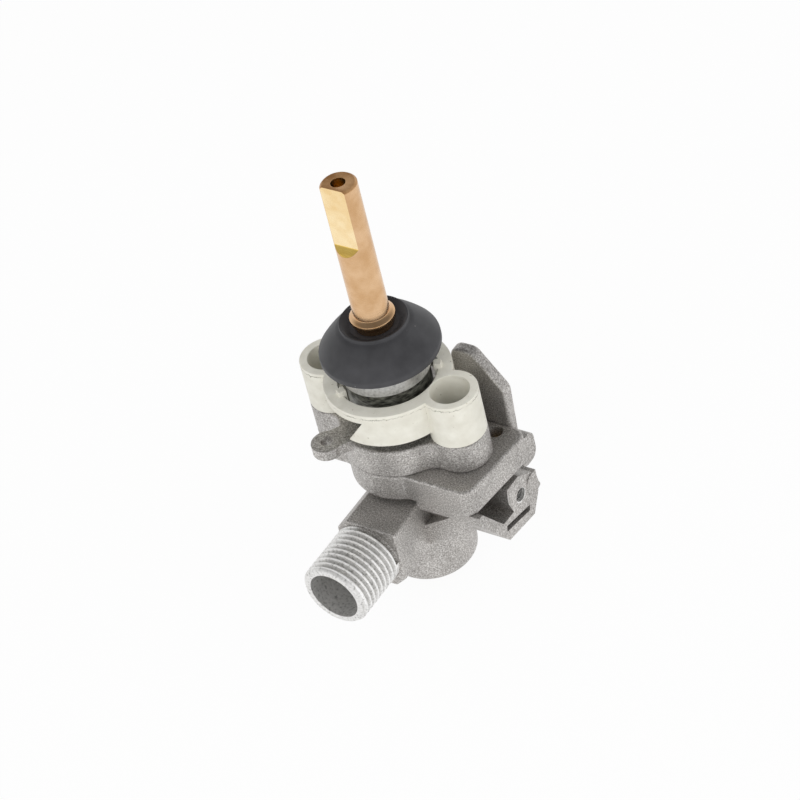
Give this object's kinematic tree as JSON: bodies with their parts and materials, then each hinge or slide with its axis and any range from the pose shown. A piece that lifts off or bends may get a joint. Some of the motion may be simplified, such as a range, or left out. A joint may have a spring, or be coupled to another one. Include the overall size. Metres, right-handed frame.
{
  "type": "gas safety valve",
  "caption": "Push-and-turn gas tap with a cast body, threaded outlet, rail saddle and a magnet unit that shuts the gas off when the flame fails.",
  "frame": {"origin": "on the spindle axis at the top of its collar, where the bare shaft starts", "axes": "+Z along the spindle towards its free end, -Y along the outlet, X along the supply rail"},
  "size_m": [0.0475, 0.0533, 0.1112],
  "materials": {
    "cast_aluminium": "sandblasted casting",
    "brass": "turned, bright",
    "plug_brass": "lapped",
    "black_rubber": "satin",
    "ivory_plastic": "moulded, matt",
    "steel": "zinc plated",
    "spring_steel": "bright drawn",
    "soft_iron": "bare",
    "copper_wire": "enamelled",
    "insulator": "matt"
  },
  "bodies": {
    "body": {"valve_body": "cast_aluminium", "bonnet_cover": "cast_aluminium", "spacer_ring": "ivory_plastic", "cover_screws": "steel", "spindle_o_ring": "black_rubber", "bypass_screw": "plug_brass", "closing_spring": "spring_steel", "magnet_housing": "plug_brass", "magnet_core": "soft_iron", "magnet_coil": "copper_wire", "magnet_nut": "plug_brass", "socket_insulator": "insulator", "socket_contact": "plug_brass", "inlet_seal": "black_rubber"},
    "plug": {"plug_cone": "plug_brass", "thrust_washer": "steel", "spindle_spring": "spring_steel"},
    "spindle": {"spindle": "brass", "drive_pin": "steel", "push_rod": "brass", "circlip": "spring_steel", "rubber_seal": "black_rubber"},
    "disc": {"valve_disc": "black_rubber", "disc_carrier": "steel", "armature_stem": "soft_iron"}
  },
  "joints": [
    {"name": "spindle_turn", "type": "hinge", "parent": "body", "child": "plug", "pos_m": [0, 0, -0.0368], "axis": [0, 0, 1], "range_deg": [0, 200]},
    {"name": "spindle_push", "type": "slide", "parent": "plug", "child": "spindle", "axis": [0, 0, -1], "range_m": [0, 0.0025], "stiffness_N_per_m": 2000, "springref_m": -0.003, "deforming": ["spindle_spring"]},
    {"name": "disc_lift", "type": "slide", "parent": "body", "child": "disc", "axis": [0, 0, -1], "range_m": [0, 0.0025], "stiffness_N_per_m": 600, "springref_m": -0.003, "deforming": ["closing_spring"]}
  ],
  "couplings": [
    {"joint": "disc_lift", "follows": "spindle_push", "ratio": 1}
  ]
}
